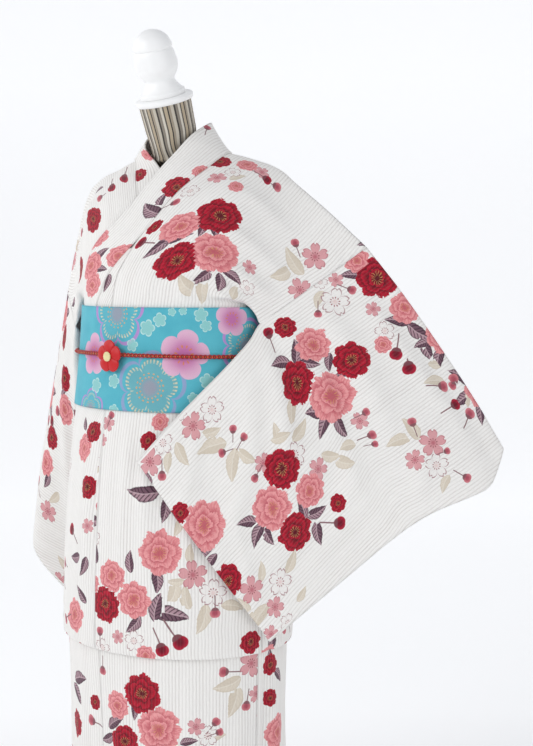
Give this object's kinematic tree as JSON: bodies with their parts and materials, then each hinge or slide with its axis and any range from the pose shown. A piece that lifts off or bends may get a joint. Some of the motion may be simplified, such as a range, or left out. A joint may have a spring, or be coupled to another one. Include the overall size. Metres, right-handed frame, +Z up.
{
  "type": "cotton yukata robe with its belt on a limbless dress form",
  "caption": "Unlined cotton robe wrapped left over right with hanging sleeves, waist fold, sash and cord, worn by a padded form on a round stand",
  "frame": {"origin": "centre of the stand's underside, on the floor", "axes": "+Z up, the robe's front faces -Y, the wearer's left is +X"},
  "size_m": [0.887, 0.3832, 1.5603],
  "materials": {
    "cotton": "matt crinkled cotton, printed",
    "belt_cloth": "matt woven, printed",
    "cord": "braided",
    "clasp_red": "satin",
    "clasp_cream": "satin",
    "jersey": "striped jersey over padding",
    "painted_wood": "white satin paint",
    "painted_steel": "white satin paint"
  },
  "bodies": {
    "root": {"body_left": "cotton", "body_right": "cotton", "gore_left": "cotton", "gore_right": "cotton", "collar": "cotton", "sleeve_left": "cotton", "sleeve_right": "cotton", "skirt_left_front": "cotton", "skirt_left_back": "cotton", "skirt_left_gore": "cotton", "skirt_right_front": "cotton", "skirt_right_back": "cotton", "skirt_right_gore": "cotton", "obi": "belt_cloth", "bow_left": "belt_cloth", "bow_right": "belt_cloth", "bow_knot": "belt_cloth", "cord": "cord", "clasp_flower": "clasp_red", "clasp_centre": "clasp_cream", "form_torso": "jersey", "form_cap": "painted_wood", "form_finial": "painted_wood", "form_pole": "painted_steel", "form_base": "painted_steel"}
  },
  "joints": []
}
